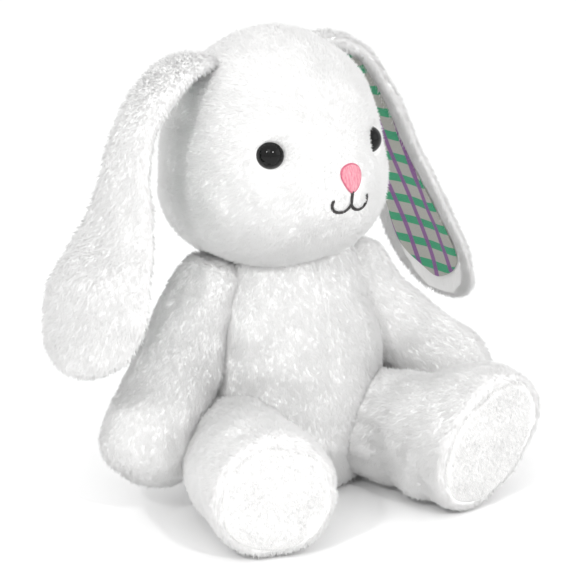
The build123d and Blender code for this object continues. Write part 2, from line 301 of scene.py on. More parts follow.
# %% Body coat
BODY_DEPTH = 0.85  # front to back over side to side
body_profile = smooth_line([(34, 0.6), (42, 3), (48, 12), (53, 24), (54, 36), (52.8, 60), (48.5, 85),
                            (42, 110), (33, 131)], 110)  # radius and height
turn = np.linspace(0, 2 * np.pi, 168, endpoint=False)
body_rings = np.stack([np.outer(body_profile[:, 0], np.cos(turn)),
                       np.outer(body_profile[:, 0], np.sin(turn)) * BODY_DEPTH,
                       np.repeat(body_profile[:, 1:], 168, 1)], -1)
body_coat = closed_skin("body_coat", body_rings, coat_cloth)


def body_relief(p):
    """Lumps of stuffing, less a groove along the seams: front and back middle, and both sides."""
    high = bell(np.minimum(p[:, 2] - 8, 0), 8)
    middle = bell(p[:, 0], 1.3) * (np.abs(p[:, 1]) > 15)
    sides = bell(p[:, 1] - 4, 1.3) * (np.abs(p[:, 0]) > 20)
    pucker = 0.12 * np.sin(p[:, 2] * 2 * np.pi / 9) * bell(p[:, 0], 5) * (p[:, 1] < 0)
    lumps = 1.1 * waves(p, 46, 3) * high + 0.35 * waves(p, 16, 4) * high
    return lumps - 0.6 * middle - 0.7 * sides + pucker


push(body_coat, body_relief)
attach(body_coat, "torso")
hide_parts("torso_front_right_panel", "torso_front_left_panel", "torso_back_right_panel",
            "torso_back_left_panel", "torso_stuffing", "seat_pellet_bag", "seat_pellets")
size_of(body_coat)

# %% Body pile


def down(p):
    """Brushed straight down."""
    return np.tile([0.0, 0.0, -1.0], (len(p), 1))


def off_seat(p, n):
    """Not under the seat, nor on the top under the head."""
    return (p[:, 2] < 130.5) & (n[:, 2] > -0.9)


pile("body_pile", body_coat, "torso", PILE_DENSITY, PILE_LENGTH, down, 11, keep=off_seat)

# %% [markdown]
# ## Neck
# Under the chin the cloth is gathered round a ball of stuffing. Only a sliver shows, so it is a small pleated
# ring that hides the gap when the head turns.

# %% Neck gather
neck_at = np.array([-7.0, 4.0, 121.0])
rise = np.linspace(-1.35, 1.35, 40)[:, None]
round_neck = np.linspace(0, 2 * np.pi, 120, endpoint=False)
neck_r = 25 * np.cos(rise) ** 0.5 + 0.6 * np.cos(round_neck * 18) * np.cos(rise)
neck_rings = np.stack([neck_r * np.cos(round_neck), neck_r * np.sin(round_neck) * 0.92,
                       13 * np.sin(rise) + 0 * round_neck], -1) + neck_at
neck_coat = closed_skin("neck_gather", neck_rings, coat_cloth)
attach(neck_coat, "neck")
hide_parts("neck_stuffing")
size_of(neck_coat)
pile("neck_pile", neck_coat, "neck", 1.2, 4.0, down, 12, keep=lambda p, n: n[:, 2] < 0.5)

# %% [markdown]
# ## Head
# The head is a round that is fullest at the cheeks. Above and below that height it follows two superellipses,
# which are squarer than a circle. The muzzle is a soft bulge, and the eyes are drawn in so that they sit in
# dents, the left one a little less than the right.

# %% Head coat
HEAD_TURN = np.radians(8)
head_at = np.array([-7.0, 5.0, 185.0])
HEAD_TOP, HEAD_LOW, CHEEK_Z, HEAD_R = 62.0, -61.0, -16.0, 60.5
EYE_AT = (33.5, -44.0, 6.0)
NOSE_AT = np.array([1.8, -65.0, -6.2])


def from_head(p):
    """The head's own frame into the row's: turned about Z, then moved to the head's middle."""
    c, s = np.cos(HEAD_TURN), np.sin(HEAD_TURN)
    return p @ np.array([[c, s, 0], [-s, c, 0], [0, 0, 1]]) + head_at


def into_head(p):
    """The row's frame into the head's own."""
    c, s = np.cos(HEAD_TURN), np.sin(HEAD_TURN)
    return (p - head_at) @ np.array([[c, -s, 0], [s, c, 0], [0, 0, 1]])


def from_eye(q, sign, ahead=0.0):
    """Distance of points in the head's own frame from an eye's middle, or from a point ahead of it."""
    return np.linalg.norm(q - np.array([sign * EYE_AT[0], EYE_AT[1] - ahead, EYE_AT[2]]), axis=1)


lift = np.linspace(-1.54, 1.54, 150)[:, None]
around = np.linspace(0, 2 * np.pi, 220, endpoint=False)
power = 2 / np.where(lift > 0, 2.15, 2.35)
tall = np.where(lift > 0, HEAD_TOP - CHEEK_Z, CHEEK_Z - HEAD_LOW)
head_z = CHEEK_Z + tall * np.sign(lift) * np.abs(np.sin(lift)) ** power
head_r = HEAD_R * np.cos(lift) ** power
head_rings = np.stack([head_r * np.cos(around), 0.97 * head_r * np.sin(around), head_z + 0 * around], -1)


def head_relief(p):
    """Out at the muzzle, in at the eyes, the mouth and the seams, with the unevenness of stuffing."""
    eyes = sum(depth * bell(from_eye(p, s, 3.0), 10) for s, depth in ((-1, 6.4), (1, 4.9)))
    snout = bell(np.linalg.norm((p - [0, -58, -13]) * [0.9, 1, 1], axis=1), 19)
    front = p[:, 1] < -20
    mouth = bell(np.hypot(p[:, 0], p[:, 2] + 18), 6) * front
    seam = bell(p[:, 0], 1.2) * (p[:, 1] > 12) + bell(p[:, 1] - 10, 1.2) * (p[:, 2] > -45)
    return 6.4 * snout - eyes - 1.6 * mouth - 0.8 * seam + 0.7 * waves(p, 50, 7) + 0.3 * waves(p, 18, 8)


head_coat = closed_skin("head_coat", head_rings, coat_cloth)
push(head_coat, head_relief)
head_surface, _ = places(head_coat)
set_places(head_coat, from_head(head_surface))
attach(head_coat, "head")
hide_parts("head_face_panel", "head_back_right_panel", "head_back_left_panel", "head_stuffing")
size_of(head_coat)

# %% Head pile


def brushed_back(p):
    """Away from the nose, and a little down."""
    way = p - from_head(NOSE_AT + np.array([0, -6.0, 12.0]))
    return unit(way) + [0, 0, -0.35]


def face_length(p):
    """Short round the nose, mouth and eyes, and longer over the crown and cheeks."""
    q = into_head(p)
    near = bell(np.linalg.norm(q - NOSE_AT - [0, 0, -6], axis=1), 22)
    eyes = sum(bell(from_eye(q, s), 13) for s in (-1, 1))
    return PILE_LENGTH - 1.4 * near - 1.0 * eyes


def bare_face(p, n):
    """No roots under the eyes or the nose, nor at the very bottom of the head."""
    q = into_head(p)
    eyes = np.min([from_eye(q, s) for s in (-1, 1)], axis=0)
    nose = np.hypot((q[:, 0] - NOSE_AT[0]) / 7.2, (q[:, 2] + 6) / 8.6)
    return (eyes > 8.2) & ((nose > 1) | (q[:, 1] > 0)) & (q[:, 2] > -57)


pile("head_pile_face", head_coat, "head", 3.3, face_length, brushed_back, 13,
     keep=lambda p, n: bare_face(p, n) & (into_head(p)[:, 1] < 0))
pile("head_pile_back", head_coat, "head", 2.8, face_length, brushed_back, 14,
     keep=lambda p, n: bare_face(p, n) & (into_head(p)[:, 1] >= 0))

# %% [markdown]
# ## Eyes
# They are glossy black domes, so the CAD shapes stay. A low roughness keeps the points of light sharp, and a
# weak reflection keeps the rest black.

# %% Eyes
eye_gloss = finish("eye_gloss", (0.003, 0.003, 0.003), 0.03, Specular_IOR_Level=0.25)
mottled(eye_gloss, (0.002, 0.002, 0.002), (0.004, 0.004, 0.004), 60.0, distance=0.00001)
washer_plastic = mottled(finish("washer_plastic", (0.85, 0.85, 0.83), 0.5),
                         (0.8, 0.8, 0.78), (0.87, 0.87, 0.85), 80.0)
for eye_name, eye_finish in (("eye", eye_gloss), ("eye_washer", washer_plastic)):
    for eye_side in SIDES:
        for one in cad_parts[f"{eye_side}_{eye_name}"].material_slots:
            one.material = eye_finish
print("eyes:", eye_gloss.name, "and", washer_plastic.name)

# %% [markdown]
# ## Nose and mouth
# Both are embroidered. The nose is rows of pink satin stitch side by side, with a darker row round the rim.
# The mouth is black thread, two plies to each stroke. A thread is a thin tube carried along a line that lies
# on the head's surface, and is left open at its ends.

# %% Threads on the muzzle


def on_face(x, z, proud=0.0):
    """The head's front over x and z: the depth of the surface points near by, weighted by closeness."""
    front = head_surface[(head_surface[:, 1] < -30) & (np.abs(head_surface[:, 0]) < 40)]
    gap_x, gap_z = front[None, :, 0] - np.ravel(x)[:, None], front[None, :, 2] - np.ravel(z)[:, None]
    gap = gap_x**2 + gap_z**2
    weight = np.exp(-gap / 2.5)
    y = (weight * front[None, :, 1]).sum(1) / weight.sum(1)
    return np.stack([np.ravel(x), y - proud, np.ravel(z)], -1)


def tubes(lines, radius, sides=6):
    """A tube round each line: a ring of points about every point of the line, square to its run."""
    run = unit(np.gradient(lines, axis=1))
    across = unit(np.cross(run, [0.0, -1.0, 0.0]))
    over = np.cross(across, run)
    angle = np.linspace(0, 2 * np.pi, sides, endpoint=False)[:, None]
    ring = np.cos(angle) * across[:, :, None] + np.sin(angle) * over[:, :, None]
    taper = np.broadcast_to(np.asarray(radius, float), lines.shape[:2])[..., None, None]
    points = lines[:, :, None] + ring * taper
    count, length = lines.shape[:2]
    face = quads(length, sides)[:, ::-1]
    faces = (face[None] + np.arange(count)[:, None, None] * length * sides).reshape(-1, 4)
    return points.reshape(-1, 3), faces


# %% Nose
NOSE_W, NOSE_H = 6.5, 7.2  # half its width and height
pink_thread = finish("pink_thread", (0.72, 0.22, 0.30), 0.6, Sheen_Weight=0.15)
mottled(pink_thread, (0.56, 0.13, 0.20), (0.84, 0.42, 0.47), 500.0, (3, 1, 0.6), 0.0002)
rim_thread = mottled(finish("rim_thread", (0.55, 0.12, 0.19), 0.6),
                     (0.48, 0.08, 0.15), (0.62, 0.17, 0.24), 700.0)


def nose_edge(angle):
    """A rounded triangle, point down: a circle whose width is largest above its middle."""
    z = np.sin(angle)
    x = np.cos(angle) * (1 + 0.26 * z) * (1 - 0.12 * z**2)
    return NOSE_AT[0] + NOSE_W * x, NOSE_AT[2] + NOSE_H * (z * 0.97 + 0.05 * np.cos(2 * angle))


stitch_x = np.linspace(-0.94, 0.94, 23)
top_angle = np.arccos(np.clip(stitch_x, -1, 1))
x_top, z_top = nose_edge(top_angle)
x_low, z_low = nose_edge(-top_angle)
share = np.linspace(0, 1, 14)
fill_x = x_top[:, None] * (1 - share) + x_low[:, None] * share
fill_z = z_top[:, None] * (1 - share) + z_low[:, None] * share
crown = 0.5 + 1.5 * np.sin(np.pi * share)[None, :] ** 0.5 * np.cos(stitch_x[:, None] * 1.3)
fill_lines = on_face(fill_x, fill_z).reshape(*fill_x.shape, 3)
fill_lines[..., 1] -= crown
fill_points, fill_faces = tubes(fill_lines, 0.36)
nose = new_object("nose_stitches", from_head(fill_points), fill_faces.tolist(), pink_thread)
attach(nose, "head")
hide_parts("nose_embroidery")
edge_angle = np.linspace(0, 2 * np.pi, 90)
edge_x, edge_z = nose_edge(edge_angle)
edge_line = on_face(edge_x, edge_z, 0.6)[None]
rim_points, rim_faces = tubes(edge_line, 0.55)
nose_rim = new_object("nose_rim", from_head(rim_points), rim_faces.tolist(), rim_thread)
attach(nose_rim, "head")
size_of(nose)

# %% Mouth
black_thread = mottled(finish("black_thread", (0.02, 0.02, 0.02), 0.6),
                       (0.012, 0.012, 0.012), (0.045, 0.04, 0.04), 900.0, (1, 1, 0.4), 0.0001)
MOUTH_THREAD_R = 0.62
MOUTH_TOP, MOUTH_FORK, MOUTH_ARC = NOSE_AT[2] - NOSE_H, NOSE_AT[2] - NOSE_H - 5.6, 6.0
stem = np.stack([np.full(20, NOSE_AT[0]), np.linspace(MOUTH_TOP + 1, MOUTH_FORK, 20)], -1)
bow = np.linspace(0, np.pi * 1.14, 40)
arcs = [np.stack([NOSE_AT[0] + s * MOUTH_ARC * (1 - np.cos(bow)), MOUTH_FORK - 4.8 * np.sin(bow)], -1)
        for s in (-1, 1)]
strands = []
for path in (stem, *arcs):
    for phase in (0.0, np.pi):
        ply = np.linspace(0, len(path) * 0.9, len(path)) + phase
        line = on_face(path[:, 0] + 0.28 * np.cos(ply), path[:, 1] + 0.28 * np.sin(ply), 0.5)
        line[:, 1] -= 0.25 * np.sin(ply)
        strands.append(tubes(line[None], MOUTH_THREAD_R))
shift = np.cumsum([0] + [len(p) for p, _ in strands[:-1]])
mouth = new_object("mouth_thread", from_head(np.vstack([p for p, _ in strands])),
                   np.vstack([f + k for (_, f), k in zip(strands, shift)]).tolist(), black_thread)
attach(mouth, "head")
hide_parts("mouth_embroidery")
size_of(mouth)

# %% [markdown]
# ## Ears
# Each ear is a long flat paddle of plush with cotton on its inner face. It stands up out of the seam at its
# root, folds over and hangs. It is a lens-shaped section carried along that line, wider towards the paddle.

# %% Ear lines
EAR_BACK = 17.0  # of the ears' line behind the head's middle
EARS = {  # run: distance out, rise and half-width at each knot
    "right": dict(yaw=15, run=[(32, 38, 8), (41, 47, 10), (56, 48, 12), (73, 41, 13), (86, 31, 13),
                               (96, 18, 12.5), (102, 1, 14.5), (106, -16, 19), (110, -27, 22.5),
                               (117, -38, 27), (124, -48, 31), (129, -58, 33.5), (133, -72, 32),
                               (137, -83, 26.5), (139, -90, 18), (140, -94, 8)]),
    "left": dict(yaw=0, run=[(34, 42, 8), (40, 49, 10), (52, 49, 13), (69, 41, 16), (86, 17, 19),
                             (101, -14, 24), (117, -46, 31), (131, -74, 35), (139, -93, 30),
                             (143, -104, 20), (144, -109, 8)]),
}
EAR_HALF_THICK = 4.6
EAR_CUP = 7.0
LINING_IN = 9.0  # of the cotton's edge inside the plush's


def ear_frame(side):
    """The ear's outward and sideways directions in the row's frame, and the point its run starts from."""
    yaw, sign = np.radians(EARS[side]["yaw"]), SIDES[side]
    out = from_head(np.array([sign * np.cos(yaw), -np.sin(yaw), 0.0])) - head_at
    wide = from_head(np.array([-np.sin(yaw) * -sign, np.cos(yaw), 0.0])) - head_at
    return out, wide, from_head(np.array([0.0, EAR_BACK, 0.0]))


def ear_lines(side, rows):
    """Centre line, half-width and the direction square to the ear's face, outward, at each row."""
    out, wide, base = ear_frame(side)
    run = smooth_line(EARS[side]["run"], rows)
    centre = base + run[:, :1] * out + run[:, 1:2] * [0, 0, 1]
    along = unit(np.gradient(centre, axis=0))
    face = unit(np.cross(wide, along)) * SIDES[side]
    face *= np.sign((face * out).sum(1).mean())
    return centre, run[:, 2], wide, face


def cupped(across, half, centre, wide, face, lift, cup):
    """A point across the ear: sideways by across, lifted square to the face, and cupped by its square."""
    bow = cup * (across / 35.0) ** 2
    return centre + across * wide + (lift - bow + cup * 0.35 * (half / 35) ** 2) * face


# %% Ear coats


def ear_rings(side):
    """A lens-shaped ring at each row: half-width by cosine, thickness by a squarish sine, then cupped."""
    centre, half, wide, face = ear_lines(side, 130)
    angle = np.linspace(0, 2 * np.pi, 72, endpoint=False)
    across = np.cos(angle)[None] * half[:, None]
    swell = np.sign(np.sin(angle)) * np.abs(np.sin(angle)) ** 0.8
    lift = swell[None] * EAR_HALF_THICK * np.clip(half[:, None] / 14, 0.35, 1)
    rings = cupped(across[..., None], half[:, None, None], centre[:, None], wide, face[:, None],
                   lift[..., None], EAR_CUP)
    inward = (np.cross(wide, face[60]) @ (centre[61] - centre[60])) < 0
    return rings[:, ::-1] if inward else rings


def ear_lumps(p):
    """A slight unevenness of the thin filling."""
    return 0.35 * waves(p, 30, 21) + 0.15 * waves(p, 11, 22)


ears = {}
for side in SIDES:
    coat = closed_skin(f"{side}_ear_coat", ear_rings(side), coat_cloth)
    push(coat, ear_lumps)
    ears[side] = coat
    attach(coat, f"{side}_ear")
    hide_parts(f"{side}_ear_back_panel")
    size_of(coat)

# %% [markdown]
# ## Ear linings
# The lining is a woven plaid: green bands across and purple lines along, on a pale grey ground, with purple
# over green. A UV map in metres runs across and along the ear, so the bands keep their real width wherever
# the ear bends.

# %% Plaid cotton
GREEN_PITCH, GREEN_W = 0.0157, 0.0062  # metres
PURPLE_PITCH, PURPLE_W, PURPLE_SHIFT = 0.0140, 0.0038, 0.0014
WEAVE_PITCH = 0.0005
plaid = finish("plaid_cotton", (0.75, 0.75, 0.71), 0.85, Sheen_Weight=0.1)
uv_map = node(plaid, "UVMap", uv_map="weave").outputs["UV"]
xy = node(plaid, "SeparateXYZ", {"Vector": uv_map})


def maths(material, operation, a, b=0.5):
    """One step of arithmetic on a number that varies over the surface."""
    return node(material, "Math", {0: a, 1: b}, operation=operation).outputs[0]


def band(material, value, pitch, width, offset=0.0):
    """1 inside a stripe: the distance to the nearest whole pitch is under half the width."""
    moved = maths(material, "ADD", value, offset)
    near = maths(material, "PINGPONG", moved, pitch / 2)
    soft = 0.0002
    edge = node(material, "MapRange", {"Value": near, "From Min": width / 2 - soft,
                                       "From Max": width / 2 + soft, "To Min": 1.0, "To Max": 0.0})
    return edge.outputs["Result"]


def mixed(material, share, under, over):
    """Colour mix with the colour sockets of the Mix node, which share their names with its number sockets."""
    made = material.node_tree.nodes.new("ShaderNodeMix")
    made.data_type = "RGBA"
    material.node_tree.links.new(share, made.inputs[0])
    for index, value in ((6, under), (7, over)):
        if isinstance(value, bpy.types.NodeSocket):
            material.node_tree.links.new(value, made.inputs[index])
        else:
            made.inputs[index].default_value = (*value, 1)
    return made.outputs[2]


green_band = band(plaid, xy.outputs["Y"], GREEN_PITCH, GREEN_W)
purple_band = band(plaid, xy.outputs["X"], PURPLE_PITCH, PURPLE_W, PURPLE_SHIFT)
thread_lie = node(plaid, "Mapping", {"Vector": uv_map, "Scale": (3, 1, 1)}).outputs[0]
threads = node(plaid, "TexNoise", {"Vector": thread_lie, "Scale": 900.0, "Detail": 3.0}).outputs["Fac"]
ground = mixed(plaid, threads, (0.34, 0.34, 0.30), (0.56, 0.56, 0.52))
green = mixed(plaid, threads, (0.0, 0.27, 0.11), (0.02, 0.43, 0.21))
purple = mixed(plaid, threads, (0.14, 0.035, 0.17), (0.34, 0.11, 0.42))
cloth_color = mixed(plaid, maths(plaid, "MULTIPLY", green_band, 0.95), ground, green)
cloth_color = mixed(plaid, maths(plaid, "MULTIPLY", purple_band, 0.9), cloth_color, purple)
plaid.node_tree.links.new(cloth_color, shader_of(plaid).inputs["Base Color"])
warp = maths(plaid, "SINE", maths(plaid, "MULTIPLY", xy.outputs["X"], 2 * np.pi / WEAVE_PITCH))
weft = maths(plaid, "SINE", maths(plaid, "MULTIPLY", xy.outputs["Y"], 2 * np.pi / WEAVE_PITCH))
bump(plaid, maths(plaid, "MULTIPLY", warp, weft), 0.00006)
print(f"plaid: green every {GREEN_PITCH * 1000:.1f} mm, purple every {PURPLE_PITCH * 1000:.1f} mm")

# %% Linings
LINING_ROWS, LINING_COLS = 110, 40


def lining_grid(side):
    """The cotton as a grid, with each point's place on the flat cloth: across it, and along the ear."""
    centre, half, wide, face = ear_lines(side, 400)
    walk = np.concatenate([[0], np.cumsum(np.linalg.norm(np.diff(centre, axis=0), axis=1))])
    inner = half - LINING_IN * np.clip(half / 26, 0.4, 1)
    used = (walk > 26) & (walk < walk[-1] - 13)
    take = np.linspace(np.flatnonzero(used)[0], np.flatnonzero(used)[-1], LINING_ROWS).astype(int)
    ends = np.clip((walk[take[-1]] - walk[take]) / 22, 0, 1)
    reach = inner[take] * np.sqrt(1 - (1 - ends) ** 2).clip(0.12, 1)
    across = np.linspace(-1, 1, LINING_COLS)[None] * reach[:, None]
    edge = np.abs(np.linspace(-1, 1, LINING_COLS))[None] ** 10
    dome = np.sqrt(np.clip(1 - (across / half[take][:, None]) ** 2, 0, 1)) ** 0.8
    sunk = -(EAR_HALF_THICK * dome * np.clip(half[take][:, None] / 14, 0.35, 1) + 1.9 - 1.2 * edge)
    grid = cupped(across[..., None], half[take][:, None, None], centre[take][:, None], wide,
                  face[take][:, None], sunk[..., None], EAR_CUP)
    cells = quads(LINING_ROWS, LINING_COLS, wrap=False)
    if (np.cross(wide, centre[201] - centre[200]) @ face[200]) > 0:
        cells = cells[:, ::-1]
    cloth_at = np.stack([across, np.repeat(walk[take][:, None], LINING_COLS, 1)], -1).reshape(-1, 2) * MM
    flat = (2 * reach.max() * MM, (walk[take[-1]] - walk[take[0]]) * MM)
    return grid.reshape(-1, 3), cells, cloth_at, flat


def lining_lumps(p):
    """The cotton follows the filling, more softly than the plush."""
    return 0.25 * waves(p, 24, 31)


for side in SIDES:
    points, cells, cloth_at, flat = lining_grid(side)
    lining = new_object(f"{side}_ear_lining", points, cells.tolist(), plaid)
    push(lining, lining_lumps)
    layer = lining.data.uv_layers.new(name="weave")
    corner = np.empty(len(lining.data.loops), np.int32)
    lining.data.loops.foreach_get("vertex_index", corner)
    layer.data.foreach_set("uv", cloth_at[corner].ravel().astype(np.float32))
    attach(lining, f"{side}_ear")
    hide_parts(f"{side}_ear_lining")

# %% Ear pile
EAR_PILE_LENGTH = 3.8
EAR_SPLIT_Z = 130  # the pile is one piece above this height and one below


def off_lining(side):
    """Roots everywhere but under the cotton: outside its edge, or on the ear's outer face."""
    centre, half, wide, face = ear_lines(side, 200)

    def test(p, n):
        near = np.argmin(((p[:, None] - centre[None]) ** 2).sum(-1), 1)
        across = ((p - centre[near]) * wide).sum(1)
        back = (n * face[near]).sum(1) > -0.25
        border = np.abs(across) > half[near] - LINING_IN * 0.85
        inside_head = np.linalg.norm(into_head(p) / [60, 58, 61], axis=1) < 1
        return (back | border | (near > 186) | (near < 24)) & ~inside_head

    return test


for side in SIDES:
    keep = off_lining(side)
    pile(f"{side}_ear_pile_1", ears[side], f"{side}_ear", PILE_DENSITY, EAR_PILE_LENGTH, down, 40,
         keep=lambda p, n: keep(p, n) & (p[:, 2] > EAR_SPLIT_Z))
    pile(f"{side}_ear_pile_2", ears[side], f"{side}_ear", PILE_DENSITY, EAR_PILE_LENGTH, down, 41,
         keep=lambda p, n: keep(p, n) & (p[:, 2] <= EAR_SPLIT_Z))

# %% [markdown]
# ## Arms
# An arm is a soft bar that swells towards the paw. A tapering round is carried along a slightly bent line, a
# little flatter front to back, with a rounded end.

# %% Arm rings
ARMS = {"right": [(-42, 3, 118), (-56, 1, 98), (-72, -6, 73), (-87, -13, 47), (-92, -15, 38)],
        "left": [(40, 3, 115), (52, 1, 95), (71, -5, 71), (94, -11, 49), (100, -13, 42)]}
ARM_FLAT = 0.84
ARM_START, PAW_REACH = -13, 19.0  # how far the arm goes on past the first and last knots


def limb_rings(line, radius, first, second, cols):
    """Rings about a line: centre + radius * (cos * first half-axis + sin * second half-axis)."""
    angle = np.linspace(0, 2 * np.pi, cols, endpoint=False)[None, :, None]
    spoke = np.cos(angle) * first[:, None] + np.sin(angle) * second[:, None]
    return line[:, None] + radius[:, None, None] * spoke


def arm_rings(knots):
    """Rings walked along the arm, closer at its ends, whose radius falls off as a rounded end."""
    line = smooth_line(knots, 200)
    run = unit(np.gradient(line, axis=0))
    walk = np.concatenate([[0], np.cumsum(np.linalg.norm(np.diff(line, axis=0), axis=1))])
    total = walk[-1]
    last = total + PAW_REACH
    t = total * (1 - np.cos(np.linspace(0, np.pi, 110))) / 2
    s = np.interp(t, [0, total], [ARM_START, last])
    base = np.stack([np.interp(s, walk, line[:, k]) for k in range(3)], -1)
    base += run[0] * np.minimum(s, 0)[:, None] + run[-1] * np.maximum(s - total, 0)[:, None]
    radius = np.interp(s, [ARM_START, 0, total * 0.35, total * 0.7, total * 0.93, last],
                       [17, 19, 22, 25, 27, 27])
    tip = np.clip((s - (last - 25)) / 25, 0, 0.999)
    start = np.clip((2 - s) / 15, 0, 0.999)
    radius = radius * np.sqrt(1 - tip**2.2) * np.sqrt(1 - start**2)
    way = np.stack([np.interp(s, walk, run[:, k]) for k in range(3)], -1)
    first = unit(np.cross(way, [0.0, 1.0, 0.0]))
    second = unit(np.cross(way, first)) * ARM_FLAT
    return limb_rings(base, np.maximum(radius, 0.3), first, second, 96)


def arm_lumps(p):
    """Lumps of stuffing."""
    return 0.8 * waves(p, 28, 51) + 0.3 * waves(p, 12, 52)


def outside_body(p, n):
    """Not in the body's pear."""
    r = np.interp(p[:, 2], body_profile[:, 1], body_profile[:, 0])
    return np.hypot(p[:, 0], p[:, 1] / BODY_DEPTH) > r - 1.5


# %% Arms
for side in SIDES:
    knots = np.array(ARMS[side], float)
    coat = closed_skin(f"{side}_arm_coat", arm_rings(knots), coat_cloth)
    push(coat, arm_lumps)
    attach(coat, f"{side}_arm")
    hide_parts(f"{side}_arm_outer_panel", f"{side}_arm_inner_panel", f"{side}_arm_stuffing")
    size_of(coat)

    def arm_down(p):
        """Brushed along the arm to the paw."""
        return np.tile(unit(knots[-1] - knots[0]), (len(p), 1))

    pile(f"{side}_arm_pile", coat, f"{side}_arm", PILE_DENSITY, PILE_LENGTH, arm_down, 61,
         keep=outside_body)

# %% [markdown]
# ## Legs
# A leg runs forward from the hip to a foot that is longer than it is wide, with a flat sole of shorter nap
# sewn in. Its rings turn from round at the thigh to the foot's oval at the sole, and the last rings roll over
# into the sole's seam. A bare strip in the pile shows where that seam runs.

# %% Foot
LEGS = {
    "right": dict(line=[(-38, -16, 31), (-50, -36, 31.5), (-58, -60, 33), (-61, -84, 34.5)],
                  azimuth=-13, pitch=-4, roll=-25, wide=32, long=33),
    "left": dict(line=[(34, -18, 32), (42, -38, 32), (52, -60, 34.5), (63, -82, 39.5)],
                 azimuth=10, pitch=-6, roll=42, wide=32, long=40),
}
SOLE_AHEAD = 16.5  # from the foot's middle to the sole
SOLE_IN = 4.6  # of the sole's edge inside the foot's
SHIN_R = 30.5
SHIN_ROWS, TOE_ROWS, LEG_COLS = 120, 43, 120


def foot_frame(leg):
    """The sole's outward direction, long way and wide way, from azimuth, pitch and roll in degrees."""
    a, b, r = np.radians([leg["azimuth"], leg["pitch"], leg["roll"]])
    out = np.array([np.sin(a) * np.cos(b), -np.cos(a) * np.cos(b), np.sin(b)])
    up = unit(np.array([0, 0, 1.0]) - out * out[2])
    side = np.cross(up, out)
    return out, up * np.cos(r) + side * np.sin(r), side * np.cos(r) - up * np.sin(r)


def sole_share(q, leg):
    """How far a point is from the sole's middle, 1 at its edge. The point is given from the foot's middle."""
    _, long_way, wide_way = foot_frame(leg)
    return np.hypot(q @ wide_way / (leg["wide"] - SOLE_IN), q @ long_way / (leg["long"] - SOLE_IN))


# %% Leg rings


def leg_rings(leg):
    """Rings along the leg, then rolling over at the toe. Their plane turns little by little to the sole's."""
    out, long_way, wide_way = foot_frame(leg)
    line = smooth_line(leg["line"], SHIN_ROWS)
    ahead = np.linspace(0, 1, TOE_ROWS + 1)[1:]
    rim = line[-1] + out * (SOLE_AHEAD * np.sin(ahead * np.pi / 2))[:, None]
    base = np.vstack([line, rim])
    way = np.vstack([unit(np.gradient(line, axis=0)), np.tile(out, (TOE_ROWS, 1))])
    heel = np.linspace(0, 1, SHIN_ROWS)
    share = np.concatenate([eased(np.clip(heel * 1.25 - 0.25, 0, 1)), np.ones(TOE_ROWS)])[:, None]
    way = unit(way * (1 - share) + out * share)
    first = unit(wide_way - way * (way @ wide_way)[:, None])
    second = np.cross(way, first)
    second *= np.sign((second @ long_way).mean())
    thigh = np.interp(heel, [0, 0.06, 0.2, 0.45, 0.62, 1], [24, 27.5, 29.5, 29.5, SHIN_R, SHIN_R])
    grow = eased(np.clip((heel - 0.55) / 0.4, 0, 1))
    roll_in = 5.0 * (1 - np.cos(ahead * np.pi / 2)) ** 2.2
    half_wide = np.concatenate([thigh + (leg["wide"] - SHIN_R) * grow, leg["wide"] - roll_in])
    half_long = np.concatenate([thigh + (leg["long"] - SHIN_R) * grow, leg["long"] - roll_in])
    angle = np.linspace(0, 2 * np.pi, LEG_COLS, endpoint=False)[None, :, None]
    rings = base[:, None] + np.cos(angle) * first[:, None] * half_wide[:, None, None] \
        + np.sin(angle) * second[:, None] * half_long[:, None, None]
    if (np.cross(first[60], second[60]) @ way[60]) < 0:
        rings = rings[:, ::-1]
    rings[..., 2] = np.maximum(rings[..., 2], 0.8 + 0.15 * np.maximum(rings[..., 2] + 2, 0))
    return rings


def sole_rings(leg, foot):
    """Rings from the sole's middle to its edge, a little domed. The last one is sunk under the coat."""
    out, long_way, wide_way = foot_frame(leg)
    dish = np.linspace(0.02, 0.95, 24)
    step = np.concatenate([dish, [1.0, 1.0]])
    height = np.concatenate([1.3 * (1 - dish**3) + 0.6, [0.1, -2.5]]) + SOLE_AHEAD
    angle = np.linspace(0, 2 * np.pi, LEG_COLS, endpoint=False)[None, :, None]
    rings = foot + out * height[:, None, None] \
        + np.cos(angle) * wide_way * (step * (leg["wide"] - SOLE_IN))[:, None, None] \
        + np.sin(angle) * long_way * (step * (leg["long"] - SOLE_IN))[:, None, None]
    if (np.cross(wide_way, long_way) @ out) > 0:
        rings = rings[:, ::-1]
    rings[..., 2] = np.maximum(rings[..., 2], 1.0)
    return rings


